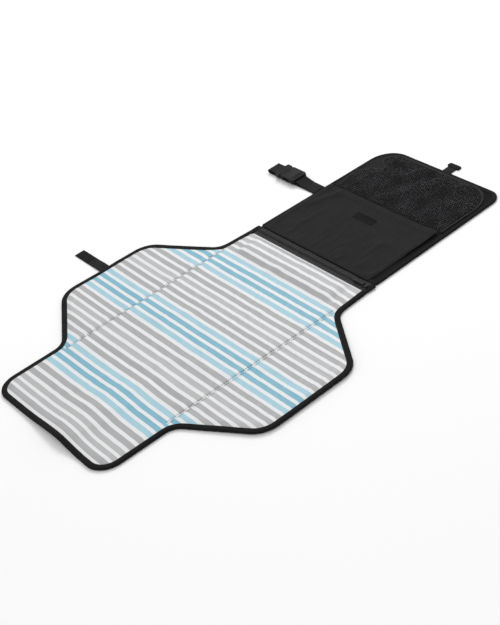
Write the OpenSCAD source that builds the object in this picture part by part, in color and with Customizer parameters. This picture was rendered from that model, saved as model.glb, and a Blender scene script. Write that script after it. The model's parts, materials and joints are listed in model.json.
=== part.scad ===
// Fold-up changing pad: a padded mat with two side wings, zipped to a flat clutch with a pocket,
// a mesh flap, a buckled carry strap and a closure tab. Millimetres, +Z up, laid out flat.
// X runs across the pad and +Y runs from the mat towards the clutch. The origin is on the
// centreline, on the underside, at the zip that joins the mat to the clutch.

/* [Mat] */
// Length of the mat, from the zip to its foot edge
mat_len = 535; // [520:1:560]
// Width of the mat at the zip
neck_w = 315; // [310:1:318]
// Width of the mat across its wings
wing_span = 597; // [580:1:610]
// Width of the mat at its foot edge
foot_w = 335; // [330:1:340]
// Width of the centre panel, between the two wing folds
centre_w = 304; // [300:1:306]
// Visible width of the edge binding
binding_w = 10; // [8:1:12]

/* [Layers] */
// Thickness of the black backing cloth
backing_t = 0.5; // [0.4:0.1:0.6]
// Thickness of the foam sheet
foam_t = 3; // [2.5:0.1:3.2]
// Thickness of the wipe-clean printed cover
cover_t = 0.5; // [0.4:0.1:0.6]
// Height of the edge binding
binding_t = 5; // [4.6:0.1:5]
// Thickness of the head pillow above the cover
pillow_t = 5.4; // [3:0.1:5.4]

/* [Clutch] */
// Width of the clutch at the zip
clutch_w = 310; // [306:1:312]
// Width of the clutch at its far edge
clutch_end_w = 292; // [288:1:300]
// Distance from the zip to the flap fold
flap_y = 171; // [165:1:178]
// Distance from the zip to the far edge of the flap
clutch_len = 306; // [298:1:312]
// Radius of the flap's far left corner
flap_r = 47; // [35:1:55]
// Radius of the flap's far right corner
flap_right_r = 26; // [20:1:47]

/* [Strap and tab] */
// Width of the strap webbing
strap_w = 25; // [20:1:26]
// How far the strap reaches from the centreline
strap_reach = 290; // [286:1:300]
// Width of the closure tab
tab_w = 20; // [15:1:25]
// Length of the closure tab
tab_len = 91; // [70:1:92]

/* [Hidden] */

// Gap between neighbouring bodies
gap = 0.4;
// Zip fold: the mat swings about this line, just short of the zip
mat_fold_y = -8;
// The mat folds into three equal lengths
third = (mat_len + mat_fold_y) / 3;
mid_fold_y = mat_fold_y - third;
foot_fold_y = mat_fold_y - 2 * third;
wing_fold_x = centre_w / 2;
// Span of the wings along the mat
wing_top_y = -70;
wing_end_y = -402;
// Heights of the mat's layers
foam_z = backing_t;
cover_z = backing_t + foam_t;
pillow_z = cover_z + cover_t;
// Larger than anything that it cuts
far = 700;

// Layers of the clutch, from the underside up
cloth_t = 0.6;
board_t = 1.6;
board_z = cloth_t;
lining_z = board_z + board_t;
pocket_z = lining_z + cloth_t;
pocket_t = 0.8;
patch_t = 0.6;
back_y = 12;
clutch_binding_w = 8;
clutch_binding_t = 4.4;
mesh_t = 3.2;
side_strip_w = 18;

// Zip
zip_len = 306;
tape_z = 1.8;
tape_t = 0.5;
teeth_z = tape_z + tape_t;
teeth_t = 1.6;
teeth_w = 1.8;
teeth_pitch = 4.8;
zip_y = 2;
post_w = 0.6;
slider_x = 142;
slider_len = 11;
slider_w = 9;
pin_r = 0.6;
pin_x = slider_x - 2.4;
pin_z = 6.2;

// Strap, buckle and pull tab
web_t = 1.4;
strap_y = 145;
strap_root_x = 152.8;
loop_z = 7.5;
buckle_w = 33;
buckle_t = 8.6;
socket_x0 = 207;
socket_x1 = 247;
prongs_x1 = 262;
tab_t = 1.2;
hook_t = 0.8;
tab_y = -231;

black = "#1c1c1f";
jet = "#121214";
print_white = "#f2f2f0";
foam_colour = "#e9e6da";
board_colour = "#8d8f92";
zip_grey = "#3a3a3e";

// ---- Outlines ----

function unit(v) = v / norm(v);
// Inward normal of a side of an outline that runs anticlockwise
function inward(a, b) = let (d = unit(b - a)) [-d[1], d[0]];
function turn(a, b) = atan2(a[0] * b[1] - a[1] * b[0], a * b);
// A corner [x, y, radius] moved inward by d, as its own rounded arc of points
function corner_arc(before, here, after, d, steps = 8) =
    let (
        p = [here[0], here[1]],
        n1 = inward([before[0], before[1]], p),
        n2 = inward(p, [after[0], after[1]]),
        v = p + d * (n1 + n2) / (1 + n1 * n2),
        bend = turn(n1, n2),
        side = bend > 0 ? 1 : -1,
        r = max(here[2] - side * d, 0.2),
        centre = v + side * r * (n1 + n2) / (1 + n1 * n2)
    )
    [for (i = [0 : steps])
        let (a = atan2(-side * n1[1], -side * n1[0]) + bend * i / steps)
        centre + r * [cos(a), sin(a)]];
function outline(corners, d = 0) =
    let (n = len(corners))
    [for (i = [0 : n - 1])
        each corner_arc(corners[(i + n - 1) % n], corners[i], corners[(i + 1) % n], d)];
// The right-hand corners of a shape, from its near end to its far end, and their mirror images
function both_sides(right) = concat(
    right,
    [for (i = [len(right) - 1 : -1 : 0]) [-right[i][0], right[i][1], right[i][2]]]
);

mat_corners = both_sides([
    [foot_w / 2, -mat_len, 38],
    [foot_w / 2 - 0.6, -401, 28],
    [wing_span / 2, -323, 45],
    [wing_span / 2 - 5, -145, 45],
    [neck_w / 2 + 5.5, -71, 28],
    [neck_w / 2, 0, 3]
]);
clutch_corners = [
    [clutch_w / 2, back_y, 3],
    [clutch_end_w / 2, clutch_len, flap_right_r],
    [-clutch_end_w / 2, clutch_len, flap_r],
    [-clutch_w / 2, back_y, 3]
];

// A rounded rectangle between two corners
module slab(x0, x1, y0, y1, z, t, r = 0.5) {
    translate([0, 0, z])
        linear_extrude(t)
            polygon(outline([[x0, y0, r], [x1, y0, r], [x1, y1, r], [x0, y1, r]]));
}

// ---- Mat: every layer is the mat's outline, cut to one fold-up panel ----

module wing_zone(side) {
    x0 = wing_fold_x + (side == 0 ? -1 : 1) * gap / 2;
    for (s = side == 0 ? [-1, 1] : [side])
        translate([s > 0 ? x0 : -x0 - far, wing_end_y, -1])
            cube([far, wing_top_y - wing_end_y, 20]);
}

module third_zone(i) {
    y1 = mat_fold_y - i * third - gap / 2;
    y0 = i == 2 ? -far : mat_fold_y - (i + 1) * third + gap / 2;
    translate([-far / 2, y0, -1])
        cube([far, y1 - y0, 20]);
}

module panel_cut(i, side) {
    if (side == 0)
        difference() {
            intersection() {
                children();
                third_zone(i);
            }
            wing_zone(0);
        }
    else
        intersection() {
            children();
            third_zone(i);
            wing_zone(side);
        }
}

module mat_layer(i, side, z, t) {
    panel_cut(i, side)
        translate([0, 0, z])
            linear_extrude(t)
                polygon(outline(mat_corners, binding_w));
}

module mat_cover(i, side = 0) {
    color(print_white) mat_layer(i, side, cover_z, cover_t);
}

module mat_foam(i, side = 0) {
    color(foam_colour) mat_layer(i, side, foam_z, foam_t);
}

module mat_backing(i, side = 0) {
    color(black) mat_layer(i, side, 0, backing_t);
}

module mat_binding(i, side = 0) {
    color(jet)
        panel_cut(i, side)
            difference() {
                linear_extrude(binding_t)
                    polygon(outline(mat_corners));
                translate([0, 0, -1])
                    linear_extrude(binding_t + 2)
                        polygon(outline(mat_corners, binding_w));
            }
}

module head_pillow() {
    color(print_white)
        slab(-132, 132, wing_top_y + 5, mat_fold_y - 5, pillow_z, pillow_t, 12);
}

module closure_tab() {
    x0 = wing_span / 2 - 2.6 + 0.8;
    color(black)
        slab(-x0 - tab_len, -x0, tab_y - tab_w / 2, tab_y + tab_w / 2, 0, tab_t, 3);
}

module closure_hook() {
    x1 = wing_span / 2 + tab_len - 6;
    color(jet)
        slab(-x1, -x1 + 38, tab_y - tab_w / 2 + 2, tab_y + tab_w / 2 - 2, tab_t, hook_t, 2);
}

// ---- Clutch: back panel, and the flap beyond the flap fold ----

module clutch_cut(part) {
    y0 = part == "back" ? mat_fold_y - far : flap_y + gap / 2;
    intersection() {
        children();
        translate([-far / 2, y0, -1])
            cube([far, (part == "back" ? flap_y - gap / 2 : far) - y0, 20]);
    }
}

module clutch_layer(part, z, t) {
    clutch_cut(part)
        translate([0, 0, z])
            linear_extrude(t)
                polygon(outline(clutch_corners, clutch_binding_w));
}

module clutch_binding(part) {
    color(jet)
        clutch_cut(part)
            difference() {
                linear_extrude(clutch_binding_t)
                    polygon(outline(clutch_corners));
                translate([0, 0, -1])
                    linear_extrude(clutch_binding_t + 2)
                        polygon(outline(clutch_corners, clutch_binding_w));
            }
}

// Outer cloth of the back panel, with the facing strip that runs on under the zip
module back_shell() {
    color(black) {
        clutch_layer("back", 0, cloth_t);
        slab(-zip_len / 2, zip_len / 2, mat_fold_y + gap / 2, back_y, 0, cloth_t);
    }
}

module back_pocket() {
    color(black)
        slab(-134, 134, back_y + clutch_binding_w, flap_y - 6, pocket_z, pocket_t, 4);
}

module blank_patch() {
    color(black)
        slab(-32, 18, 121, 135, pocket_z + pocket_t, patch_t, 1.5);
}

module flap_mesh() {
    x0 = -clutch_end_w / 2 + clutch_binding_w + side_strip_w + 2;
    color(jet)
        slab(x0, 132, flap_y + 4, clutch_len - clutch_binding_w - 6, pocket_z, mesh_t, 26);
}

// Plain cloth strip that holds the left edge of the mesh
module flap_side_strip() {
    color(black)
        intersection() {
            clutch_layer("flap", pocket_z, cloth_t);
            translate([-clutch_w, flap_y, 0])
                cube([
                    clutch_w - clutch_end_w / 2 + clutch_binding_w + side_strip_w,
                    clutch_len - flap_y - clutch_binding_w - 20,
                    10
                ]);
        }
}

module pull_tab() {
    y0 = clutch_len + gap;
    color(jet) {
        slab(-6, 14, y0, y0 + 17, 0, 2);
        slab(-10, 18, y0 + 17, y0 + 26, 0, 3, 3);
    }
}

// ---- Zip ----

module zip_tapes() {
    y_gap = 1.1;
    color(black) {
        slab(-zip_len / 2, zip_len / 2, mat_fold_y + gap / 2, zip_y - y_gap, tape_z, tape_t);
        slab(-zip_len / 2, zip_len / 2, zip_y + y_gap, back_y - gap, tape_z, tape_t);
        for (side = [-1, 1]) {
            x = side * (zip_len / 2 + 1);
            slab(x - 5, x + 5, zip_y - 8, zip_y + 8, cloth_t, tape_z - cloth_t, 1);
        }
    }
}

module zip_teeth() {
    row_y = post_w / 2 + 0.1;
    count = floor((zip_len - 18) / teeth_pitch);
    color(zip_grey)
        for (side = [-1, 1], i = [0 : count - 1]) {
            y0 = side > 0 ? row_y : -row_y - teeth_w;
            translate([
                -zip_len / 2 + 8 + (i + (side > 0 ? 0.5 : 0)) * teeth_pitch,
                zip_y + y0,
                teeth_z
            ])
                cube([teeth_pitch / 2, teeth_w, teeth_t]);
        }
}

// Two plates round the teeth, held by a post between the rows, with two ears and a pin on top
module zip_slider() {
    top_z = teeth_z + teeth_t + 0.3;
    low_z = cloth_t + 0.25;
    color("silver") {
        slab(
            slider_x - slider_len / 2, slider_x + slider_len / 2,
            zip_y - slider_w / 2, zip_y + slider_w / 2, top_z, 1, 2
        );
        slab(
            slider_x - slider_len / 2, slider_x + slider_len / 2,
            zip_y - slider_w / 2, zip_y + slider_w / 2, low_z, tape_z - 0.3 - low_z, 2
        );
        translate([slider_x - 2, zip_y - post_w / 2, low_z])
            cube([4, post_w, top_z - low_z + 0.5]);
        for (side = [-1, 1])
            translate([pin_x - 1.4, zip_y + side * 2.6 - 0.5, top_z])
                cube([2.8, 1, pin_z + 0.9 - top_z]);
        translate([pin_x, zip_y + 3.1, pin_z])
            rotate([90, 0, 0])
                cylinder(r = pin_r, h = 6.2, $fn = 48);
    }
}

module zip_puller() {
    puller_len = 26;
    color("silver")
        difference() {
            union() {
                slab(pin_x - puller_len, pin_x - 1.5, zip_y - 2.8, zip_y + 2.8, pin_z - 0.6, 1.2, 1.6);
                translate([pin_x - 4, zip_y - 1.8, pin_z - 0.6])
                    cube([4, 3.6, 1.2]);
                translate([pin_x, zip_y + 1.8, pin_z])
                    rotate([90, 0, 0])
                        cylinder(r = 0.95, h = 3.6, $fn = 48);
            }
            translate([pin_x, zip_y + 4, pin_z])
                rotate([90, 0, 0])
                    cylinder(r = pin_r + 0.05, h = 8, $fn = 48);
        }
}

// ---- Strap and buckle, in a side view along X and Z, extruded across the webbing ----

// Extrudes an X-Z outline across the strap, centred on it
module across_strap(w) {
    translate([0, strap_y + w / 2, 0])
        rotate([90, 0, 0])
            linear_extrude(w)
                children();
}

module strap_long() {
    color(black)
        across_strap(strap_w)
            polygon([
                [-strap_root_x, 0], [-strap_root_x, web_t],
                [-strap_reach + loop_z / 2 + gap, web_t], [-strap_reach + loop_z / 2 + gap, 0]
            ]);
}

// Short run stitched on top of the long one, rising to the socket
module strap_short() {
    color(black)
        across_strap(strap_w - 1)
            polygon([
                [-strap_root_x, web_t], [-strap_root_x, 2 * web_t], [-180, 2 * web_t],
                [-socket_x0 + 6, loop_z + web_t / 2], [-socket_x0, loop_z + web_t / 2],
                [-socket_x0, loop_z - web_t / 2], [-socket_x0 + 6, loop_z - web_t / 2],
                [-180, web_t]
            ]);
}

// The strap's turned-over tip: from the long run, round and back to the prongs
module strap_loop() {
    r = (loop_z + web_t / 2) / 2;
    x = -strap_reach + r;
    color(black)
        across_strap(strap_w) {
            difference() {
                union() {
                    translate([x, r])
                        circle(r = r, $fn = 64);
                    translate([x, loop_z - web_t / 2])
                        square([-prongs_x1 - x, web_t]);
                }
                translate([x, r])
                    circle(r = r - web_t, $fn = 64);
                translate([x, -1])
                    square([far, loop_z - web_t / 2 + 1]);
            }
        }
}

module buckle_socket() {
    wall = 1.6;
    cavity_w = buckle_w - 2 * wall;
    cavity_t = buckle_t - 2 * wall;
    z0 = loop_z - buckle_t / 2;
    color(jet)
        difference() {
            slab(
                -socket_x1, -socket_x0,
                strap_y - buckle_w / 2, strap_y + buckle_w / 2, z0, buckle_t, 5
            );
            translate([-socket_x1 - 1, strap_y - cavity_w / 2, z0 + wall])
                cube([socket_x1 - socket_x0 - 5, cavity_w, cavity_t]);
            translate([-socket_x1 + 10, strap_y - buckle_w, z0 + wall])
                cube([16, 2 * buckle_w, cavity_t]);
        }
}

module buckle_prongs() {
    z0 = loop_z - buckle_t / 2;
    arm_t = buckle_t - 2 * 1.6 - 0.8;
    arm_z = loop_z - arm_t / 2;
    color(jet) {
        slab(
            -prongs_x1, -socket_x1 - gap,
            strap_y - buckle_w / 2, strap_y + buckle_w / 2, z0, buckle_t, 3
        );
        translate([-socket_x1 - gap - 1, strap_y - 3, arm_z])
            cube([26, 6, arm_t]);
        for (side = [-1, 1]) {
            translate([-socket_x1 - gap - 1, strap_y + side * 11.6 - 1.6, arm_z])
                cube([28, 3.2, arm_t]);
            translate([-socket_x1 + 12, strap_y + side * 13 - 1.4, arm_z])
                cube([13, 2.8, arm_t]);
        }
    }
}

// ---- Nodes ----

head = 0;
middle = 1;
foot = 2;
left = -1;
right = 1;

back_shell();
color(board_colour) clutch_layer("back", board_z, board_t);  // back_board
color(black) clutch_layer("back", lining_z, cloth_t);  // back_lining
back_pocket();
blank_patch();
clutch_binding("back");  // back_binding
zip_tapes();
zip_teeth();
zip_slider();
zip_puller();
color(black) clutch_layer("flap", 0, cloth_t);  // flap_shell
color(board_colour) clutch_layer("flap", board_z, board_t);  // flap_board
color(black) clutch_layer("flap", lining_z, cloth_t);  // flap_lining
flap_mesh();
flap_side_strip();
clutch_binding("flap");  // flap_binding
pull_tab();
strap_long();
strap_short();
buckle_socket();
buckle_prongs();
strap_loop();
mat_cover(head);  // head_cover
mat_foam(head);  // head_foam
mat_backing(head);  // head_backing
mat_binding(head);  // head_binding
head_pillow();
mat_cover(middle);  // middle_cover
mat_foam(middle);  // middle_foam
mat_backing(middle);  // middle_backing
mat_cover(foot);  // foot_cover
mat_foam(foot);  // foot_foam
mat_backing(foot);  // foot_backing
mat_binding(foot);  // foot_binding
mat_cover(head, left);  // left_head_cover
mat_foam(head, left);  // left_head_foam
mat_backing(head, left);  // left_head_backing
mat_binding(head, left);  // left_head_binding
mat_cover(middle, left);  // left_middle_cover
mat_foam(middle, left);  // left_middle_foam
mat_backing(middle, left);  // left_middle_backing
mat_binding(middle, left);  // left_middle_binding
mat_cover(foot, left);  // left_foot_cover
mat_foam(foot, left);  // left_foot_foam
mat_backing(foot, left);  // left_foot_backing
mat_binding(foot, left);  // left_foot_binding
mat_cover(head, right);  // right_head_cover
mat_foam(head, right);  // right_head_foam
mat_backing(head, right);  // right_head_backing
mat_binding(head, right);  // right_head_binding
mat_cover(middle, right);  // right_middle_cover
mat_foam(middle, right);  // right_middle_foam
mat_backing(middle, right);  // right_middle_backing
mat_binding(middle, right);  // right_middle_binding
mat_cover(foot, right);  // right_foot_cover
mat_foam(foot, right);  // right_foot_foam
mat_backing(foot, right);  // right_foot_backing
mat_binding(foot, right);  // right_foot_binding
closure_tab();
closure_hook();
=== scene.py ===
import json
import math

import bmesh
import bpy
import numpy as np
from mathutils import Matrix, Vector, noise
from mathutils.bvhtree import BVHTree
from mathutils.geometry import delaunay_2d_cdt


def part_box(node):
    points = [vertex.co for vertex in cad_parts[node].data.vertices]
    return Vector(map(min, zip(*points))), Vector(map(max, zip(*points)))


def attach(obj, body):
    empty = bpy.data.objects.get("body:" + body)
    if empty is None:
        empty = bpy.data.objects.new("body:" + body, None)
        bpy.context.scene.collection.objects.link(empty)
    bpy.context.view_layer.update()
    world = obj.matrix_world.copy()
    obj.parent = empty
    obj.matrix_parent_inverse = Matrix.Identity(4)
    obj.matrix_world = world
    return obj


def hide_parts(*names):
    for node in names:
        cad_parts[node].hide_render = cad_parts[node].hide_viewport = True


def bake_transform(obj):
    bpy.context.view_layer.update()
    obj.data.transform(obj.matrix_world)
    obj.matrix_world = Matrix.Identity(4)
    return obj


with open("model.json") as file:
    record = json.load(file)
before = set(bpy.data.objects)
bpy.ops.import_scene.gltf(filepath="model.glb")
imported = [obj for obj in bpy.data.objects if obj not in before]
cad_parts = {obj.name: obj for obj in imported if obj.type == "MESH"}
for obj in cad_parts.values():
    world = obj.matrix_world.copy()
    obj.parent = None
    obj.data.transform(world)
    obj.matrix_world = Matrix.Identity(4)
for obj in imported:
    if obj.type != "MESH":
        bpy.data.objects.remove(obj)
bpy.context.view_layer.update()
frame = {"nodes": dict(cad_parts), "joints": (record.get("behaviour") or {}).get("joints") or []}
JOINTS = {j["name"]: j for j in frame["joints"]}

# ---- Sizes, in metres, from the frame; X across, Y towards the clutch, Z up ----

MM = 0.001


def mm(*values):
    """Millimetres, as metres."""
    return tuple(v * MM for v in values)


MID_FOLD_Y = JOINTS["middle_fold"]["pos_m"][1]
FOOT_FOLD_Y = JOINTS["foot_fold"]["pos_m"][1]
FLAP_FOLD_Y = JOINTS["flap_fold"]["pos_m"][1]
WING_X = JOINTS["right_wing_fold"]["pos_m"][0]
MAT_END_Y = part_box("foot_binding")[0].y
WING_TOP_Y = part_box("right_head_binding")[1].y
WING_END_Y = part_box("right_foot_binding")[0].y
WING_SPAN = 2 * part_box("right_middle_binding")[1].x
CLUTCH_END_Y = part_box("flap_binding")[1].y
BACK_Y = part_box("back_binding")[0].y
ZIP_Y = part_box("zip_teeth")[0].y * 0.5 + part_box("zip_teeth")[1].y * 0.5
NECK_W = 315 * MM
FOOT_W = 335 * MM
CLUTCH_W = 310 * MM
CLUTCH_END_W = 292 * MM
GRID = 3.5 * MM
# Half the width of the strip of cloth that bends at each fold
FOLD_HALF = {"middle": 15 * MM, "foot": 12 * MM, "wing": 10 * MM, "flap": 20 * MM}
FAR = 0.7
SIGN = {"left": -1, "right": 1}

# Stripes: the centre of one pale blue stripe, and the distance from stripe to stripe
STRIPE_Y = -121.5 * MM
STRIPE_PITCH = 14.9 * MM
# The wings are cut from another stretch of cloth, so their stripes don't line up
STRIPE_SHIFT = {"left": -5.5 * MM, "right": -2.5 * MM}
# The centre panel is drawn out lengthwise towards the foot: where it lies, and its print's place
CENTRE_Y = mm(-540, -513.5, -485, -434, -388, -270.5, 0)
CENTRE_PRINT = mm(-513, -494, -464.2, -419.5, -374.8, -270.5, 0)


# ---- Outlines ----

def corner_arc(before, here, after, inset):
    """The rounded corner at here = (x, y, radius), moved inward by inset."""
    a, p, b = (np.array(v[:2]) for v in (before, here, after))

    def inward(u, v):
        d = (v - u) / np.linalg.norm(v - u)
        return np.array([-d[1], d[0]])

    n1, n2 = inward(a, p), inward(p, b)
    mitre = (n1 + n2) / (1 + n1 @ n2)
    bend = math.atan2(n1[0] * n2[1] - n1[1] * n2[0], n1 @ n2)
    side = 1 if bend > 0 else -1
    r = max(here[2] - side * inset, 0.2 * MM)
    centre = p + inset * mitre + side * r * mitre
    start = math.atan2(-side * n1[1], -side * n1[0])
    steps = max(4, int(abs(bend) * r / (3 * MM)))
    return [
        centre + r * np.array([math.cos(start + bend * i / steps),
                               math.sin(start + bend * i / steps)])
        for i in range(steps + 1)
    ]


def outline(corners, inset=0.0):
    """A closed anticlockwise outline with rounded corners, as points about GRID apart."""
    n = len(corners)
    arcs = [corner_arc(corners[i - 1], corners[i], corners[(i + 1) % n], inset) for i in range(n)]
    points = []
    for i, arc in enumerate(arcs):
        points += arc
        a, b = arc[-1], arcs[(i + 1) % n][0]
        steps = max(1, int(np.linalg.norm(b - a) / GRID))
        points += [a + (b - a) * k / steps for k in range(1, steps)]
    return np.array(points)


def both_sides(right):
    return right + [(-x, y, r) for x, y, r in reversed(right)]


MAT_CORNERS = both_sides([
    (FOOT_W / 2, MAT_END_Y, 38 * MM),
    (FOOT_W / 2 - 0.6 * MM, -401 * MM, 28 * MM),
    (WING_SPAN / 2, -323 * MM, 45 * MM),
    (WING_SPAN / 2 - 5 * MM, -145 * MM, 45 * MM),
    (NECK_W / 2 + 5.5 * MM, -71 * MM, 28 * MM),
    (NECK_W / 2, 0, 3 * MM),
])
CLUTCH_CORNERS = [
    (CLUTCH_W / 2, BACK_Y, 3 * MM),
    (CLUTCH_END_W / 2, CLUTCH_END_Y, 26 * MM),
    (-CLUTCH_END_W / 2, CLUTCH_END_Y, 47 * MM),
    (-CLUTCH_W / 2, BACK_Y, 3 * MM),
]


def box_outline(x0, x1, y0, y1, r=0.5 * MM):
    return outline([(x0, y0, r), (x1, y0, r), (x1, y1, r), (x0, y1, r)])


def region(x0, x1, y0, y1):
    return np.array([(x0, y0), (x1, y0), (x1, y1), (x0, y1)])


EVERYWHERE = region(-FAR, FAR, -FAR, FAR)


def inside(points, polygon):
    """Which points lie inside a closed polygon, by counting crossings."""
    p, q = polygon, np.roll(polygon, -1, axis=0)
    x, y = points[:, 0, None], points[:, 1, None]
    spans = (p[None, :, 1] > y) != (q[None, :, 1] > y)
    rise = q[:, 1] - p[:, 1]
    rise = np.where(np.abs(rise) < 1e-12, 1e-12, rise)
    cross_x = p[None, :, 0] + (y - p[None, :, 1]) * (q[:, 0] - p[:, 0])[None] / rise[None]
    return (spans & (x < cross_x)).sum(axis=1) % 2 == 1


def edge_distance(points, polygon):
    """How far each point is from a closed polygon's line."""
    p, q = polygon, np.roll(polygon, -1, axis=0)
    d = q - p
    length2 = np.maximum((d ** 2).sum(axis=1), 1e-12)
    best = np.full(len(points), 1e9)
    for k in range(0, len(points), 2000):
        block = points[k:k + 2000, None, :]
        t = np.clip(((block - p[None]) * d[None]).sum(axis=2) / length2[None], 0, 1)
        gap = block - (p[None] + t[..., None] * d[None])
        best[k:k + 2000] = np.sqrt((gap ** 2).sum(axis=2)).min(axis=1)
    return best


def from_edge(x, y, polygon):
    return edge_distance(np.column_stack([x, y]), polygon)


# ---- Smooth functions used for the relief ----

def smooth(a, b, x):
    t = np.clip((x - a) / (b - a), 0, 1)
    return t * t * (3 - 2 * t)


def bell(x, centre, width):
    return np.exp(-((x - centre) / width) ** 2)


def rough(x, y, scale_x, scale_y, seed):
    """Gentle random relief from -1 to 1, with its own scale in mm along X and along Y."""
    scale_x, scale_y = mm(scale_x, scale_y)
    return np.array([
        noise.noise(Vector((a / scale_x, b / scale_y, seed))) for a, b in zip(x, y)
    ])


def level(height):
    """A surface at one height."""
    return lambda x, y: np.full(len(x), height)


# ---- Mesh builders ----

def add_object(name, data):
    obj = bpy.data.objects.new(name, data)
    bpy.context.scene.collection.objects.link(obj)
    return obj


def make_object(name, mesh, material):
    obj = add_object(name, mesh)
    mesh.materials.append(material)
    return obj


def set_uv(mesh, uv_of_vertex):
    layer = mesh.uv_layers.new(name="UVMap")
    loops = np.zeros(len(mesh.loops), np.int32)
    mesh.loops.foreach_get("vertex_index", loops)
    layer.data.foreach_set("uv", np.asarray(uv_of_vertex, np.float32)[loops].ravel())


def flat_uv(mesh):
    """Texture placed straight down: each vertex's own X and Y."""
    set_uv(mesh, np.array([(v.co.x, v.co.y) for v in mesh.vertices]))


def round_shade(mesh):
    mesh.polygons.foreach_set("use_smooth", [True] * len(mesh.polygons))


def doubled_areas(verts, tris):
    """Twice each flat triangle's area, negative where it runs clockwise."""
    a, b, c = (verts[tris[:, k]] for k in range(3))
    return (b - a)[:, 0] * (c - a)[:, 1] - (b - a)[:, 1] * (c - a)[:, 0]


def triangles(region, shape, grid=GRID, rows=(), columns=()):
    """Triangles over the part of a shape that lies in a region; both are closed polygons.
    Points on the region's straight sides sit on one common grid, so neighbours match.
    No triangle crosses the lines y = rows and x = columns."""
    points, edges = [], []

    def add_loop(loop):
        base = len(points)
        points.extend(Vector((float(x), float(y))) for x, y in loop)
        edges.extend((base + i, base + (i + 1) % len(loop)) for i in range(len(loop)))

    lo = np.maximum(shape.min(axis=0) - grid, region.min(axis=0))
    hi = np.minimum(shape.max(axis=0) + grid, region.max(axis=0))
    clipped = np.clip(region, shape.min(axis=0) - grid, shape.max(axis=0) + grid)
    sides = []
    for a, b in zip(clipped, np.roll(clipped, -1, axis=0)):
        sides.append(a)
        axis = 0 if abs(b[0] - a[0]) > abs(b[1] - a[1]) else 1
        if abs(b[axis] - a[axis]) < grid:
            continue
        low, high = sorted((a[axis], b[axis]))
        ticks = np.arange(math.ceil((low + grid / 3) / grid), (high - grid / 3) / grid) * grid
        if b[axis] < a[axis]:
            ticks = ticks[::-1]
        for t in ticks:
            sides.append(a + (b - a) * (t - a[axis]) / (b[axis] - a[axis]))
    add_loop(shape)
    add_loop(sides)
    lines = [((lo[0], y), (hi[0], y)) for y in rows]
    lines += [((x, lo[1]), (x, hi[1])) for x in columns]
    for a, b in lines:
        base = len(points)
        steps = max(2, int(math.dist(a, b) / grid))
        points.extend(Vector(a).lerp(Vector(b), k / steps) for k in range(steps + 1))
        edges.extend((i, i + 1) for i in range(base, len(points) - 1))
    xs = np.arange(math.ceil(lo[0] / grid), hi[0] / grid) * grid
    ys = np.arange(math.ceil(lo[1] / grid), hi[1] / grid) * grid
    inner = np.array([(x, y) for y in ys for x in xs])
    if len(inner):
        keep = inside(inner, shape) & inside(inner, clipped)
        inner = inner[keep]
        clear = (edge_distance(inner, shape) > grid * 0.55) & (
            edge_distance(inner, np.array(sides)) > grid * 0.4)
        for axis, ticks in ((1, rows), (0, columns)):
            if len(ticks):
                low, high = min(ticks) - grid * 0.5, max(ticks) + grid * 0.5
                clear &= (inner[:, axis] < low) | (inner[:, axis] > high)
        points.extend(Vector((float(x), float(y))) for x, y in inner[clear])
    verts, _, faces, _, _, _ = delaunay_2d_cdt(points, edges, [], 0, 1e-7)
    verts = np.array([(v.x, v.y) for v in verts])
    faces = np.array([f for f in faces if len(f) == 3])
    centres = verts[faces].mean(axis=1)
    faces = faces[inside(centres, shape) & inside(centres, clipped)]
    used, faces = np.unique(faces, return_inverse=True)
    verts, faces = verts[used], faces.reshape(-1, 3)
    area = doubled_areas(verts, faces)
    faces[area < 0] = faces[area < 0][:, ::-1]
    return verts, faces[np.abs(area) > 1e-12]


def slab(name, flat, top, bottom, material, print_y=None, uv_shift=0.0, seam=FAR):
    """A closed piece over flat = (points, triangles), between two heights. Its texture is
    placed along Y by print_y, or shifted by uv_shift where it lies beyond the seam."""
    verts, tris = flat
    n = len(verts)
    x, y = verts[:, 0], verts[:, 1]
    high, low = top(x, y), bottom(x, y)
    high = np.maximum(high, low + 0.3 * MM)
    co = np.concatenate([np.column_stack([x, y, high]), np.column_stack([x, y, low])])
    half = dict.fromkeys((t[i], t[(i + 1) % 3]) for t in tris for i in range(3))
    rim = [(a, b) for a, b in half if (b, a) not in half]
    faces = [tuple(t) for t in tris]
    faces += [(t[2] + n, t[1] + n, t[0] + n) for t in tris]
    faces += [(b, a, a + n, b + n) for a, b in rim]
    mesh = bpy.data.meshes.new(name)
    mesh.from_pydata(co.tolist(), [], [[int(i) for i in f] for f in faces])
    round_shade(mesh)
    on_rim = {frozenset((int(a), int(b))) for a, b in rim}
    on_rim |= {frozenset((int(a) + n, int(b) + n)) for a, b in rim}
    sharp = [frozenset(e.vertices) in on_rim for e in mesh.edges]
    attribute = mesh.attributes.new("sharp_edge", "BOOLEAN", "EDGE")
    attribute.data.foreach_set("value", sharp)
    v = y if print_y is None else print_y(y)
    set_uv(mesh, np.column_stack([np.tile(x, 2), np.tile(v, 2)]))
    uv = mesh.uv_layers["UVMap"].data
    for face in mesh.polygons:
        if abs(face.center.x) > seam:
            for loop in face.loop_indices:
                uv[loop].uv[1] = co[mesh.loops[loop].vertex_index][1] - uv_shift
    return make_object(name, mesh, material)


def along(points, step):
    """The same open line, with points evenly spaced about step apart."""
    points = np.asarray(points, float)
    length = np.concatenate([[0], np.cumsum(np.linalg.norm(np.diff(points, axis=0), axis=1))])
    count = max(2, int(round(length[-1] / step)) + 1)
    at = np.linspace(0, length[-1], count)
    return np.column_stack([np.interp(at, length, points[:, k]) for k in range(points.shape[1])])


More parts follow.
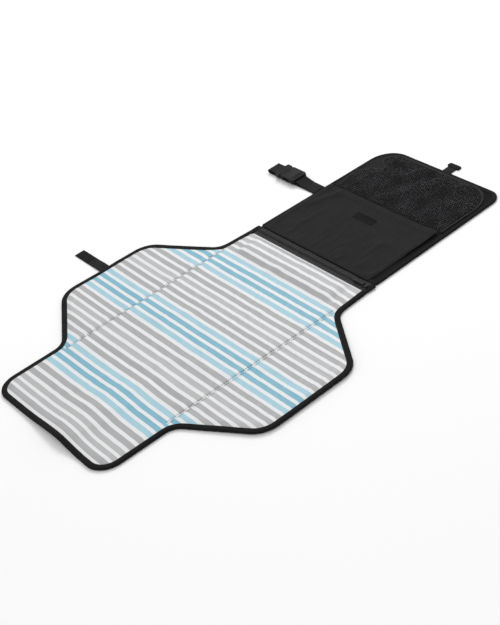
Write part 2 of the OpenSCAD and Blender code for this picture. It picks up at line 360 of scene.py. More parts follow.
def tube_faces(count, sides, base=0):
    """The faces of a tube of count rings, numbered from base, with its two caps last."""
    faces = [tuple(base + i * sides + k for i, k in (
        (a, b), (a, (b + 1) % sides), (a + 1, (b + 1) % sides), (a + 1, b)))
        for a in range(count - 1) for b in range(sides)]
    last = base + (count - 1) * sides
    return faces + [tuple(range(base + sides - 1, base - 1, -1)), tuple(range(last, last + sides))]


def rings_mesh(name, rings, material):
    """A capped tube through rings of points, each ring with the same number of points."""
    rings = np.asarray(rings, float)
    count, sides = rings.shape[:2]
    faces = tube_faces(count, sides)
    mesh = bpy.data.meshes.new(name)
    mesh.from_pydata(rings.reshape(-1, 3).tolist(), [], faces)
    mesh.polygons.foreach_set("use_smooth", [True] * (len(faces) - 2) + [False, False])
    run = np.concatenate([[0], np.cumsum(np.linalg.norm(
        np.diff(rings.mean(axis=1), axis=0), axis=1))])
    girth = np.linalg.norm(np.roll(rings[0], -1, axis=0) - rings[0], axis=1)
    around = np.concatenate([[0], np.cumsum(girth)[:-1]])
    set_uv(mesh, np.array([(run[i], around[k]) for i in range(count) for k in range(sides)]))
    return make_object(name, mesh, material)


def headings(path):
    """Unit directions along an open line in the XY plane."""
    d = np.gradient(path[:, :2], axis=0)
    return d / np.maximum(np.linalg.norm(d, axis=1, keepdims=True), 1e-12)


TAPE_STEP = 3 * MM
TAPE_SIDES = 16


def tape_tube(name, path, half_w, half_h, lift, material, seed=0.0):
    """Folded edge tape: a flat oval swept along a line, softer and puckered like sewn cloth."""
    path = along(path, TAPE_STEP)
    d = headings(path)
    side = np.column_stack([-d[:, 1], d[:, 0]])
    base = lift(path[:, 0], path[:, 1])
    turns = [2 * math.pi * k / TAPE_SIDES for k in range(TAPE_SIDES)]
    shape = [(math.copysign(abs(math.cos(a)) ** 0.75, math.cos(a)),
              math.copysign(abs(math.sin(a)) ** 0.62, math.sin(a))) for a in turns]
    rings = []
    for i, (p, n) in enumerate(zip(path, side)):
        s = i * TAPE_STEP
        fat = 1 + 0.05 * noise.noise(Vector((s / (22 * MM), seed, 0)))
        tall = 1 + 0.07 * noise.noise(Vector((s / (15 * MM), seed, 7)))
        ring = []
        for u, v in shape:
            height = half_h * (1 + v * tall)
            dent = 0.5 * MM * bell(u, 0.55, 0.2) if v > 0 else 0
            out = half_w * u * fat
            ring.append((p[0] + n[0] * out, p[1] + n[1] * out, base[i] + max(height - dent, 0)))
        rings.append(ring)
    return rings_mesh(name, rings, material)


def ribbon(name, centres, normals, across, width, thick, material):
    """Webbing: a flat band with rounded selvedges along a 3D line. across is the band's width
    direction; normals point out of its face."""
    half = width / 2
    selvedge = [(-0.985, 0.42), (-0.93, 0.5), (-0.8, 0.46)]
    face = selvedge + [(0, 0.5)] + [(-u, v) for u, v in reversed(selvedge)]
    profile = [(-1, 0.0)] + face + [(1, 0.0)] + [(u, -v) for u, v in reversed(face)]
    across = np.asarray(across, float)
    rings = [
        [np.asarray(c) + across * half * u + np.asarray(n) * thick * v for u, v in profile]
        for c, n in zip(centres, normals)
    ]
    return rings_mesh(name, rings, material)


STITCH_SIDES = 6


def stitches(name, path, height, material, pitch=4.2 * MM, length=2.9 * MM, r=0.32 * MM):
    """A row of small sewn stitches along a line in XY, lying on a height function."""
    path = along(path, pitch)
    d = headings(path)
    z = height(path[:, 0], path[:, 1])
    verts, faces = [], []
    ring = [(math.cos(a), math.sin(a))
            for a in np.linspace(0, 2 * math.pi, STITCH_SIDES, endpoint=False)]
    stations = [(-0.5, 0.25), (-0.36, 0.9), (0.36, 0.9), (0.5, 0.25)]
    for i in range(len(path)):
        base = len(verts)
        n = np.array([-d[i, 1], d[i, 0]])
        slope = (z[min(i + 1, len(z) - 1)] - z[max(i - 1, 0)]) / (2 * pitch)
        for t, fat in stations:
            for c, s in ring:
                x = path[i, 0] + d[i, 0] * t * length + n[0] * c * r * fat
                y = path[i, 1] + d[i, 1] * t * length + n[1] * c * r * fat
                verts.append((x, y, z[i] + slope * t * length + s * r * fat))
        faces += tube_faces(len(stations), STITCH_SIDES, base)
    mesh = bpy.data.meshes.new(name)
    mesh.from_pydata(verts, [], faces)
    round_shade(mesh)
    flat_uv(mesh)
    return make_object(name, mesh, material)


def refined(node, name, bevel, material):
    """A copy of a CAD node's mesh with its flat faces joined and its edges rounded."""
    mesh = frame["nodes"][node].data.copy()
    mesh.name = name
    mesh.materials.clear()
    bm = bmesh.new()
    bm.from_mesh(mesh)
    bmesh.ops.remove_doubles(bm, verts=bm.verts, dist=1e-6)
    bmesh.ops.dissolve_limit(bm, angle_limit=math.radians(2), verts=bm.verts, edges=bm.edges)
    sharp = [e for e in bm.edges
             if len(e.link_faces) == 2 and e.calc_face_angle(0) > math.radians(35)]
    bmesh.ops.bevel(bm, geom=sharp, offset=bevel, offset_type="OFFSET", segments=3,
                    profile=0.6, affect="EDGES", clamp_overlap=True)
    bmesh.ops.triangulate(bm, faces=[f for f in bm.faces if len(f.verts) > 4])
    bm.to_mesh(mesh)
    bm.free()
    round_shade(mesh)
    for layer in list(mesh.uv_layers):
        mesh.uv_layers.remove(layer)
    flat_uv(mesh)
    obj = make_object(name, mesh, material)
    obj.data.set_sharp_from_angle(angle=math.radians(40))
    return obj


# ---- Materials ----

class Nodes:
    """A short way to build a node material; UVMap holds metres on the cloth."""

    def __init__(self, name, base, roughness, sheen=0.0, specular=0.5):
        self.material = bpy.data.materials.new(name)
        self.material.use_nodes = True
        self.tree = self.material.node_tree
        self.shader = self.tree.nodes["Principled BSDF"]
        self.shader.inputs["Base Color"].default_value = (*base, 1)
        self.shader.inputs["Roughness"].default_value = roughness
        self.shader.inputs["Specular IOR Level"].default_value = specular
        self.shader.inputs["Sheen Weight"].default_value = sheen
        self.shader.inputs["Sheen Roughness"].default_value = 0.4
        uv = self.add("ShaderNodeUVMap")
        uv.uv_map = "UVMap"
        self.uv = uv.outputs["UV"]

    def add(self, kind, **inputs):
        node = self.tree.nodes.new(kind)
        for key, value in inputs.items():
            self.link(value, node.inputs[key.replace("_", " ")])
        return node

    def link(self, value, socket):
        if isinstance(value, bpy.types.NodeSocket):
            self.tree.links.new(value, socket)
        else:
            socket.default_value = value

    def math(self, operation, a, b=0.0, c=0.0):
        node = self.tree.nodes.new("ShaderNodeMath")
        node.operation = operation
        for value, socket in zip((a, b, c), node.inputs):
            self.link(value, socket)
        return node.outputs[0]

    def split(self):
        node = self.add("ShaderNodeSeparateXYZ", Vector=self.uv)
        return node.outputs["X"], node.outputs["Y"]

    def noise(self, scale, detail=3.0):
        node = self.add("ShaderNodeTexNoise", Scale=scale, Detail=detail, Vector=self.uv)
        return node.outputs["Fac"]

    def ramp(self, value, low, high, start=0.0, stop=1.0):
        """From low to high as the value goes from start to stop, and level beyond them."""
        return self.add("ShaderNodeMapRange", Value=value, From_Min=start, From_Max=stop,
                        To_Min=low, To_Max=high).outputs["Result"]

    def wave(self, value, pitch):
        """A sine of a distance, from 0 to 1, that repeats every pitch."""
        s = self.math("SINE", self.math("MULTIPLY", value, 2 * math.pi / pitch))
        return self.math("MULTIPLY_ADD", s, 0.5, 0.5)

    def mix(self, factor, a, b, blend="MIX"):
        node = self.tree.nodes.new("ShaderNodeMix")
        node.data_type = "RGBA"
        node.blend_type = blend
        self.link(factor, node.inputs["Factor"])
        for value, socket in ((a, node.inputs["A"]), (b, node.inputs["B"])):
            self.link(value if isinstance(value, bpy.types.NodeSocket) else (*value, 1), socket)
        return node.outputs["Result"]

    def shade(self, colour, factor, low, high):
        """Makes a colour lighter or darker by a factor that runs from low to high."""
        amount = self.ramp(factor, low, high)
        grey = self.add("ShaderNodeCombineColor", Red=amount, Green=amount, Blue=amount)
        return self.mix(1, colour, grey.outputs["Color"], "MULTIPLY")

    def finish(self, colour=None, roughness=None, height=None, depth=0.0002, strength=0.6):
        if colour is not None:
            self.link(colour, self.shader.inputs["Base Color"])
        if roughness is not None:
            self.link(roughness, self.shader.inputs["Roughness"])
        if height is not None:
            bump = self.add("ShaderNodeBump", Height=height, Strength=strength, Distance=depth)
            self.link(bump.outputs["Normal"], self.shader.inputs["Normal"])
        return self.material


def weave(m, pitch_x, pitch_y):
    """Over-and-under plain weave, from 0 to 1."""
    x, y = m.split()
    return m.math("MULTIPLY", m.wave(x, pitch_x), m.wave(y, pitch_y))


def stripe_material():
    """Wipe-clean cloth: white, with groups of grey and blue stripes ten to the repeat."""
    pale_blue, blue = (0.358, 0.578, 0.668), (0.200, 0.447, 0.561)
    grey, pale_grey = (0.404, 0.405, 0.411), (0.465, 0.466, 0.472)
    white = (0.780, 0.785, 0.800)
    repeat = [pale_blue, blue, blue, pale_blue, grey, grey, pale_grey, pale_grey, grey, grey]
    m = Nodes("striped_cloth", white, 0.5, sheen=0.05, specular=0.35)
    x, y = m.split()
    wander = m.ramp(m.noise(14.0, 2.0), -0.0009, 0.0009)
    s = m.math("DIVIDE", m.math("ADD", m.math("SUBTRACT", y, STRIPE_Y), wander), STRIPE_PITCH)
    s = m.math("ADD", s, 0.5)
    ramp = m.tree.nodes.new("ShaderNodeValToRGB")
    ramp.color_ramp.interpolation = "CONSTANT"
    stops = ramp.color_ramp.elements
    stops[0].position, stops[0].color = 0.0, (*repeat[0], 1)
    stops[1].position, stops[1].color = 0.1, (*repeat[1], 1)
    for k in range(2, 10):
        stop = stops.new(k / 10)
        stop.color = (*repeat[k], 1)
    m.link(m.math("FRACT", m.math("DIVIDE", s, 10.0)), ramp.inputs["Fac"])
    off = m.math("ABSOLUTE", m.math("SUBTRACT", m.math("FRACT", s), 0.5))
    colour = m.mix(m.ramp(off, 1, 0, 0.285, 0.32), white, ramp.outputs["Color"])
    diagonal = m.wave(m.math("ADD", x, y), 1.5 * MM)
    colour = m.shade(colour, diagonal, 0.955, 1.02)
    colour = m.shade(colour, m.noise(22.0), 0.97, 1.02)
    height = m.math("ADD", m.math("MULTIPLY", diagonal, 0.4), m.noise(420.0, 2.0))
    return m.finish(colour, m.ramp(m.noise(60.0), 0.42, 0.58), height, 0.00025, 0.35)


def cloth_material(name, base, pitch=0.7 * MM, roughness=0.78, sheen=0.12, depth=0.0003):
    """Plain-weave polyester with slubs, rubbed lighter in patches."""
    m = Nodes(name, base, roughness, sheen=sheen, specular=0.12)
    threads = weave(m, pitch, pitch)
    slub = m.noise(900.0, 1.0)
    colour = m.shade(base, threads, 0.72, 1.3)
    colour = m.shade(colour, m.noise(9.0, 4.0), 0.82, 1.2)
    colour = m.shade(colour, slub, 0.85, 1.15)
    height = m.math("ADD", threads, m.math("MULTIPLY", slub, 0.5))
    return m.finish(colour, m.ramp(m.noise(35.0), roughness - 0.1, roughness + 0.08), height,
                    depth, 0.7)


def ribbed_material(name, base, pitch, roughness=0.7, sheen=0.1):
    """Woven tape or webbing: ribs across its run, chevrons along it."""
    m = Nodes(name, base, roughness, sheen=sheen, specular=0.14)
    x, y = m.split()
    ribs = m.wave(m.math("ADD", x, m.math("MULTIPLY", m.wave(y, 4 * pitch), pitch)), pitch)
    cords = m.wave(y, 1.5 * pitch)
    height = m.math("ADD", ribs, m.math("MULTIPLY", cords, 0.6))
    colour = m.shade(base, ribs, 0.7, 1.35)
    colour = m.shade(colour, m.noise(30.0, 4.0), 0.8, 1.25)
    return m.finish(colour, m.ramp(m.noise(50.0), roughness - 0.1, roughness + 0.1), height,
                    0.0004, 0.7)


def moulded_material(name, base, roughness=0.38, specular=0.3):
    """Moulded plastic: faint grain, scuffs that roughen it."""
    m = Nodes(name, base, roughness, specular=specular)
    grain = m.noise(1500.0, 2.0)
    colour = m.shade(base, m.noise(60.0, 4.0), 0.85, 1.2)
    return m.finish(colour, m.ramp(m.noise(90.0, 5.0), roughness - 0.1, roughness + 0.16),
                    grain, 0.00006, 0.5)


def net_material(name, base, roughness=0.4):
    """Knitted net: its colour is painted lighter and darker cell by cell as painted glints, and in
    broad patches as painted sheen, where the yarn catches the light.
    """
    m = Nodes(name, base, roughness, specular=0.3)
    # Painted glints: single cells of yarn lightened or darkened at random
    colour = m.shade(base, m.noise(260.0, 0.0), -1.3, 3.3)
    # Painted sheen: broad lighter and darker patches across the net
    colour = m.shade(colour, m.noise(30.0, 1.0), -0.4, 2.4)
    return m.finish(colour, None, m.noise(1500.0, 2.0), 0.00006, 0.5)


STRIPES = stripe_material()
BACKING = cloth_material("backing_cloth", (0.015, 0.015, 0.016), 0.9 * MM)
CLUTCH = cloth_material("clutch_cloth", (0.0165, 0.0150, 0.0165), 0.75 * MM, 0.8, 0.02)
LINING = cloth_material("lining_cloth", (0.0065, 0.0060, 0.0067), 0.8 * MM, 0.85, 0.01)
TAPE_CLOTH = cloth_material("zip_tape_cloth", (0.038, 0.036, 0.037), 0.6 * MM, 0.8, 0.02)
BINDING = ribbed_material("binding_tape", (0.0062, 0.0060, 0.0062), 1.3 * MM, 0.8, 0.01)
WEBBING = ribbed_material("webbing", (0.0120, 0.0115, 0.0120), 1.6 * MM, 0.76, 0.02)
HOOKS = cloth_material("hook_tape", (0.008, 0.008, 0.008), 1.4 * MM, 0.9, 0.05, 0.0008)
NET = net_material("net_yarn", (0.040, 0.038, 0.042))
ELASTIC = ribbed_material("elastic", (0.010, 0.0095, 0.011), 0.9 * MM)
THREAD = ribbed_material("black_thread", (0.030, 0.029, 0.031), 0.4 * MM, 0.55, 0.05)
SEAM_THREAD = ribbed_material("grey_thread", (0.060, 0.060, 0.064), 0.4 * MM, 0.6, 0.05)
# Grey zip thread, painted lighter than the other threads as a painted highlight: it stands in for
# the light caught along the zip band's seams
ZIP_THREAD_WITH_HIGHLIGHT = ribbed_material("zip_thread", (0.120, 0.120, 0.124), 0.4 * MM, 0.6, 0.05)
PLASTIC = moulded_material("buckle_plastic", (0.0055, 0.0055, 0.0058), 0.5, 0.12)
TEETH = moulded_material("zip_teeth", (0.026, 0.026, 0.027), 0.5, 0.2)
METAL = moulded_material("black_painted_metal", (0.009, 0.009, 0.0093), 0.5, 0.12)
BOARD = moulded_material("board_plastic", (0.35, 0.36, 0.37), 0.55)


# ---- Cloth, settled by simulation ----

# Blender's cloth behaves best at a larger scale: the sheets are simulated this much enlarged
SIM_SCALE = 10.0
SIM_FRAMES = 50
SIM_FLOOR = -0.02
SIM_GAP = 0.01


def settled(flat, pinned, growth, bending=0.6):
    """A cloth sheet cut slightly too large, held where pinned and dropped on a flat surface.
    Returns a function of x and y: how far the settled cloth stands off that surface."""
    verts, tris = flat
    x, y = verts[:, 0], verts[:, 1]
    scene = bpy.context.scene
    rise = 0.6 * MM * (1 + rough(x, y, 30, 30, 91.0))
    start = np.column_stack([x, y, np.where(pinned(x, y), 0.0, rise)]) * SIM_SCALE
    mesh = bpy.data.meshes.new("settling")
    mesh.from_pydata(start.tolist(), [], tris.tolist())
    sheet = add_object("settling", mesh)
    group = sheet.vertex_groups.new(name="held")
    group.add([int(i) for i in np.flatnonzero(pinned(x, y))], 1.0, "REPLACE")
    lo, hi = start.min(axis=0) - 1, start.max(axis=0) + 1
    below = bpy.data.meshes.new("underneath")
    corners = region(lo[0], hi[0], lo[1], hi[1])
    below.from_pydata([(x, y, SIM_FLOOR) for x, y in corners.tolist()], [], [(0, 1, 2, 3)])
    ground = add_object("underneath", below)
    ground.modifiers.new("collision", "COLLISION")
    ground.collision.thickness_outer = SIM_GAP
    cloth = sheet.modifiers.new("cloth", "CLOTH")
    settings = cloth.settings
    settings.quality = 6
    settings.mass = 0.05
    settings.tension_stiffness = settings.compression_stiffness = 20
    settings.shear_stiffness = 8
    settings.bending_stiffness = bending
    settings.air_damping = 2
    settings.shrink_min = -growth
    settings.vertex_group_mass = "held"
    cloth.collision_settings.distance_min = SIM_GAP
    cloth.collision_settings.use_self_collision = False
    cloth.point_cache.frame_start, cloth.point_cache.frame_end = 1, SIM_FRAMES
    for f in range(1, SIM_FRAMES + 1):
        scene.frame_set(f)
    graph = bpy.context.evaluated_depsgraph_get()
    co = np.array([v.co for v in sheet.evaluated_get(graph).data.vertices], float) / SIM_SCALE
    for obj, data in ((sheet, mesh), (ground, below)):
        bpy.data.objects.remove(obj)
        bpy.data.meshes.remove(data)
    scene.frame_set(1)
    tree = BVHTree.FromPolygons(co.tolist(), tris.tolist())

    def height(x, y):
        found = []
        for a, b in zip(x, y):
            hit = tree.ray_cast((a, b, 1), (0, 0, -1))[0]
            found.append(hit.z if hit else 0.0)
        return np.array(found)
    return height


# ---- The mat: one relief over the whole cover, cut into pieces at the folds ----

MAT_LINE = outline(MAT_CORNERS)


def cover_pins(x, y):
    """Where the cover is sewn down: round the edge, along the wing folds and at the zip."""
    edge = from_edge(x, y, MAT_LINE)
    wing = (np.abs(np.abs(x) - WING_X) < 3.5 * MM) & (y < WING_TOP_Y) & (y > WING_END_Y)
    return (edge < 13 * MM) | wing | (y > -14 * MM)


COVER_RELIEF = settled(
    triangles(region(-FAR, FAR, -FAR, -12 * MM), outline(MAT_CORNERS, 11 * MM), 7 * MM),
    cover_pins, 0.004)


def foot_lift(x, y):
    """The foot edge waves up off the floor near the middle."""
    x, y = np.asarray(x), np.asarray(y)
    wide = np.where(x < 40 * MM, 70 * MM, 38 * MM)
    inward = 1 - smooth(0, 260 * MM, y - MAT_END_Y)
    return 8.8 * MM * bell(x, 40 * MM, wide) * inward


def mat_lift(x, y):
    """Slack in the whole mat: how far its underside stands off the floor."""
    side = smooth(WING_X + 25 * MM, WING_SPAN / 2, np.abs(x))
    curl = 2.2 * MM * side * (0.5 + 0.5 * rough(x, y, 60, 70, 31.0))
    return foot_lift(x, y) + np.maximum(curl, 0)


def mat_top(x, y):
    """The cover's surface: padding, sewn valleys at the wing folds, pillow and creases."""
    edge = from_edge(x, y, MAT_LINE)
    free = smooth(6 * MM, 26 * MM, edge)
    z = np.full(len(x), 4.1 * MM)
    z += 1.0 * MM * free
    z += 0.6 * MM * free * rough(x, y, 85, 55, 3.0)
    z += 0.2 * MM * free * rough(x, y, 30, 24, 5.0)
    # The padding rolls over the foot's wave, with a hollow beside it
    rolled = free * (1 - smooth(0, 210 * MM, y - MAT_END_Y))
    z += rolled * (1.1 * MM * bell(x, 36 * MM, 26 * MM) - 1.9 * MM * bell(x, 86 * MM, 22 * MM))
    # Long soft creases where the mat has been folded
    for fold in (MID_FOLD_Y, FOOT_FOLD_Y):
        off = y - fold - 2 * MM * rough(x, y, 70, 500, 9.0)
        z -= 0.75 * MM * free * bell(off, 0, 4.5 * MM)
        z += 0.35 * MM * free * (bell(off, 9 * MM, 6 * MM) + bell(off, -9 * MM, 6 * MM))
    # Stitched valleys along the wing folds, with small puckers across them
    beyond = smooth(WING_END_Y - 6 * MM, WING_END_Y + 8 * MM, y) * (
        1 - smooth(WING_TOP_Y - 6 * MM, WING_TOP_Y + 8 * MM, y))
    off = np.abs(np.abs(x) - WING_X)
    pucker = 0.3 * MM * rough(x, y, 60, 9, 12.0) * bell(off, 9 * MM, 9 * MM)
    z += beyond * (pucker - 1.5 * MM * bell(off, 0, 5 * MM) + 0.5 * MM * bell(off, 15 * MM, 9 * MM))
    # Pillow under the cover at the head
    rise = smooth(132 * MM, 112 * MM, np.abs(x)) * smooth(
        -72 * MM, -52 * MM, y) * smooth(-10 * MM, -27 * MM, y)
    gather = 0.10 * rough(x, y, 11, 60, 15.0) + 0.06 * rough(x, y, 26, 30, 16.0)
    z += 5.2 * MM * rise * (1 + gather)
    # Puckers fanning out from the pillow's ends, and gathers along the zip
    ends = bell(np.abs(x), 141 * MM, 12 * MM) * bell(y, -38 * MM, 26 * MM)
    z += 1.3 * MM * ends * rough(x, y + 0.25 * np.abs(x), 26, 6, 18.0)
    z += 0.7 * MM * bell(y, -16 * MM, 9 * MM) * rough(x, y, 7, 60, 20.0)
    z += 0.7 * np.clip(COVER_RELIEF(x, y), 0, 4 * MM)
    # Drawn down at the bound edges and at the zip
    rim = smooth(-1 * MM, 11 * MM, edge)
    z = 2.6 * MM + (z - 2.6 * MM) * rim
    sewn = smooth(-7.5 * MM, -15 * MM, y)
    z = 1.55 * MM + (z - 1.55 * MM) * sewn
    return z + mat_lift(x, y)


def mat_bottom(x, y):
    return 0.75 * MM + mat_lift(x, y)


CENTRE_X = WING_X - FOLD_HALF["wing"]
HEAD_CUT = MID_FOLD_Y + FOLD_HALF["middle"]
MIDDLE_CUT = FOOT_FOLD_Y + FOLD_HALF["foot"]
ZIP_CUT = -1.5 * MM
CENTRE_REGIONS = {
    # The head and the foot reach past the wings on both sides, in the shapes of a T
    "head": np.array([(-CENTRE_X, HEAD_CUT), (CENTRE_X, HEAD_CUT), (CENTRE_X, WING_TOP_Y),
                      (FAR, WING_TOP_Y), (FAR, ZIP_CUT), (-FAR, ZIP_CUT), (-FAR, WING_TOP_Y),
                      (-CENTRE_X, WING_TOP_Y)]),
    "middle": region(-CENTRE_X, CENTRE_X, MIDDLE_CUT, HEAD_CUT),
    "foot": np.array([(-FAR, -FAR), (FAR, -FAR), (FAR, WING_END_Y), (CENTRE_X, WING_END_Y),
                      (CENTRE_X, MIDDLE_CUT), (-CENTRE_X, MIDDLE_CUT), (-CENTRE_X, WING_END_Y),
                      (-FAR, WING_END_Y)]),
}
WING_BANDS = {
    "head": (MID_FOLD_Y, WING_TOP_Y),
    "middle": (FOOT_FOLD_Y, MID_FOLD_Y),
    "foot": (WING_END_Y, FOOT_FOLD_Y),
}


FLAP_START, FLAP_STOP = FLAP_FOLD_Y - 2 * MM, FLAP_FOLD_Y + 6 * MM
# The bends: from which body to which, and between which two points
BENDS = {
    "head": ("clutch_back", "mat_head", (0, -8.5 * MM, 0), (0, -21 * MM, 0)),
    "middle": ("mat_head", "mat_middle", (0, HEAD_CUT, 0),
               (0, MID_FOLD_Y - FOLD_HALF["middle"], 0)),
    "foot": ("mat_middle", "mat_foot", (0, MIDDLE_CUT, 0),
             (0, FOOT_FOLD_Y - FOLD_HALF["foot"], 0)),
    "flap": ("clutch_back", "clutch_flap", (0, FLAP_START, 0), (0, FLAP_STOP, 0)),
}
for side, s in SIGN.items():
    for third in WING_BANDS:
        BENDS[f"{side}_{third}"] = (
            f"mat_{third}", f"{side}_wing_{third}",
            (s * CENTRE_X, 0, 0), (s * (WING_X + FOLD_HALF["wing"]), 0, 0))


def part(obj, place, slot=None, *nodes):
    """Sets a piece on the body that place names; where place names a bend, it only bakes the
    piece's transform into its mesh.
    The slot argument is not used. It hides the CAD nodes that the piece stands for."""
    if place in BENDS:
        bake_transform(obj)
    else:
        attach(obj, place)
    if nodes:
        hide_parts(*nodes)
    return obj


PAD_SHAPE = outline(MAT_CORNERS, 3.5 * MM)
BACKING_SHAPE = outline(MAT_CORNERS, 2.5 * MM)


def bend_lines(start, stop, step=2 * MM):
    """Evenly spaced lines across a strip that bends, so that it bends in a smooth curve."""
    return np.linspace(start, stop, round(abs(stop - start) / step) + 1)


def mat_piece(name, area, shift=0.0, seam=FAR, **lines):
    """One pad piece of the mat with its backing sheet."""
    flat = triangles(area, PAD_SHAPE, **lines)
    pad = slab(f"pad_{name}", flat, mat_top, mat_bottom, STRIPES,
               lambda y: np.interp(y, CENTRE_Y, CENTRE_PRINT), shift, seam)
    part(pad, name, "printed_cover", f"{name}_cover", f"{name}_foam")
    flat = triangles(area, BACKING_SHAPE, 9 * MM, **lines)
    sheet = slab(f"backing_{name}", flat, lambda x, y: mat_lift(x, y) + 0.55 * MM,
                 lambda x, y: mat_lift(x, y) + 0.05 * MM, BACKING)
    part(sheet, name, "backing_cloth", f"{name}_backing")
    return pad


for third, (y0, y1) in WING_BANDS.items():
    start, stop = (point[1] for point in BENDS[third][2:])
    pad = mat_piece(third, CENTRE_REGIONS[third], rows=bend_lines(start - 0.5 * MM, stop))
    if third == "head":
        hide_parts("head_pillow")
    for side, s in SIGN.items():
        x0, x1 = sorted((s * CENTRE_X, s * FAR))
        mat_piece(f"{side}_{third}", region(x0, x1, y0, y1), STRIPE_SHIFT[side], WING_X,
                  columns=bend_lines(s * (CENTRE_X + 2 * MM), s * (WING_X + FOLD_HALF["wing"])))


# Edge binding and its stitches, one length for each panel

def runs(corners, inset, keep, overlap):
    """The stretches of an outline, moved inward, whose points pass keep(x, y). With overlap,
    each also takes in the point before it and the point after it."""
    line = outline(corners, inset)
    dense = along(np.vstack([line, line[:1]]), 1.5 * MM)[:-1]
    ok = keep(dense[:, 0], dense[:, 1])
    start = int(np.argmin(ok))
    dense, ok = np.roll(dense, -start, axis=0), np.roll(ok, -start)
    found, current = [], []
    for i, flag in enumerate(np.append(ok, False)):
        if flag:
            if overlap and not current and i:
                current.append(dense[i - 1])
            current.append(dense[i])
        elif current:
            if overlap:
                current.append(dense[i % len(dense)])
            found.append(np.array(current))
            current = []
    return found


def edge_pieces(name, keep, place):
    for k, run in enumerate(runs(MAT_CORNERS, 5.3 * MM, keep, True)):
        part(tape_tube(f"binding_{name}_{k + 1}", run, 5.3 * MM, 2.65 * MM, mat_lift, BINDING,
                       seed=len(name) + 3.0 * k),
             place, "binding_tape", *([] if k else [f"{name}_binding"]))
    for k, run in enumerate(runs(MAT_CORNERS, 8.6 * MM, keep, True)):
        part(stitches(f"binding_stitches_{name}_{k + 1}", run,
                      lambda x, y: mat_lift(x, y) + 5.0 * MM, SEAM_THREAD), place)


edge_pieces("head", lambda x, y: (y > WING_TOP_Y) & (y < -8.5 * MM), "head")
edge_pieces("foot", lambda x, y: y < WING_END_Y, "mat_foot")
for side, s in SIGN.items():
    for third, (y0, y1) in WING_BANDS.items():
        name = f"{side}_{third}"
        edge_pieces(name, lambda x, y: (s * x > 0) & (y > y0) & (y < y1), name)
        seam_y = np.arange(y0 + 2 * MM, y1 - 2 * MM, 4 * MM)
        for k, inset in enumerate((-2.2 * MM, 2.2 * MM)):
            part(stitches(f"seam_{name}_{k + 1}",
                          [(s * (WING_X + inset), y) for y in seam_y],
                          lambda x, y: mat_top(x, y) + 0.1 * MM, SEAM_THREAD), name)


# ---- The clutch ----

CLUTCH_LINE = outline(CLUTCH_CORNERS)
SHELL_SHAPE = outline(CLUTCH_CORNERS, 2.5 * MM)
LINING_SHAPE = outline(CLUTCH_CORNERS, 5 * MM)
FLAP_ROWS = bend_lines(FLAP_START + 0.6 * MM, FLAP_STOP, 0.7 * MM)


def lining_top(x, y):
    edge = from_edge(x, y, CLUTCH_LINE)
    free = smooth(6 * MM, 24 * MM, edge)
    z = 3.0 * MM + 0.5 * MM * free * rough(x, y, 50, 40, 41.0)
    z -= 0.5 * MM * bell(y, FLAP_FOLD_Y, 4 * MM) * free
    return np.maximum(z, 2.75 * MM)


def cloth_piece(name, shape, top, under, material, grid, rests_on, cad=None,
                place="clutch_back", rows=(), area=EVERYWHERE):
    """A sheet of the clutch's cloth. under is its thickness, or its underside's height."""
    flat = triangles(area, shape, grid, rows)
    bottom = under if callable(under) else lambda x, y: top(x, y) - under
    obj = slab(name, flat, top, bottom, material)
    part(obj, place, "clutch_cloth", *([cad] if cad else []))


BACK_AREA = region(-FAR, FAR, 12.5 * MM, FLAP_START)
FLAP_AREA = region(-FAR, FAR, FLAP_START, FAR)
SHELL = level(0.6 * MM), level(0.0), CLUTCH
cloth_piece("back_shell_cloth", SHELL_SHAPE, *SHELL, 8 * MM, "floor", "back_shell",
            area=BACK_AREA)
cloth_piece("zip_facing", box_outline(*mm(-153, 153, -7.8, 12.4)), *SHELL, 6 * MM, "floor")
cloth_piece("flap_shell_cloth", SHELL_SHAPE, *SHELL, 5 * MM, "floor", "flap_shell", "flap",
            FLAP_ROWS, FLAP_AREA)
cloth_piece("back_lining_cloth", LINING_SHAPE, lining_top, 0.5 * MM, LINING, 5 * MM,
            "back_board", "back_lining", area=BACK_AREA)
cloth_piece("flap_lining_cloth", LINING_SHAPE, lining_top, 0.5 * MM, LINING, 4 * MM,
            "flap_board", "flap_lining", "flap", FLAP_ROWS, FLAP_AREA)


def clutch_edge(name, keep, place):
    long_runs = [run for run in runs(CLUTCH_CORNERS, 4.1 * MM, keep, False) if len(run) > 4]
    for k, run in enumerate(long_runs):
        part(tape_tube(f"binding_{name}_{k + 1}", run, 4.2 * MM, 2.2 * MM, level(0.0), BINDING,
                       seed=50 + k),
             place, "binding_tape", *([] if k else [f"{name}_binding"]))
        part(stitches(f"binding_stitches_{name}_{k + 1}", inward_copy(run, 2.7 * MM),
                      level(4.2 * MM), THREAD), place)


def inward_copy(run, distance):
    """An anticlockwise line moved to its left."""
    d = headings(run)
    return run + distance * np.column_stack([-d[:, 1], d[:, 0]])


clutch_edge("back", lambda x, y: y < FLAP_START, "clutch_back")
clutch_edge("flap", lambda x, y: y > FLAP_START - 1.6 * MM, "flap")


# Pocket on the back panel

POCKET = mm(-147, 136, 13.2, 168.5)
POCKET_SHAPE = box_outline(*POCKET, r=4 * MM)


def pocket_pins(x, y):
    """The pocket is sewn on three sides; its far edge, a hem, is open."""
    x0, x1, y0, _ = POCKET
    return (x < x0 + 5 * MM) | ((x > x1 - 5 * MM) & (y < 95 * MM)) | (y < y0 + 5 * MM)


POCKET_RELIEF = settled(triangles(EVERYWHERE, POCKET_SHAPE, 5 * MM), pocket_pins, 0.007)


def pocket_lift(x, y):
    """The pocket's right edge stands open, more so at its far corner."""
    open_edge = smooth(95 * MM, 134 * MM, x) * smooth(45 * MM, 150 * MM, y)
    mouth = 0.8 * MM * smooth(135 * MM, 165 * MM, y)
    return 3.0 * MM * open_edge + mouth


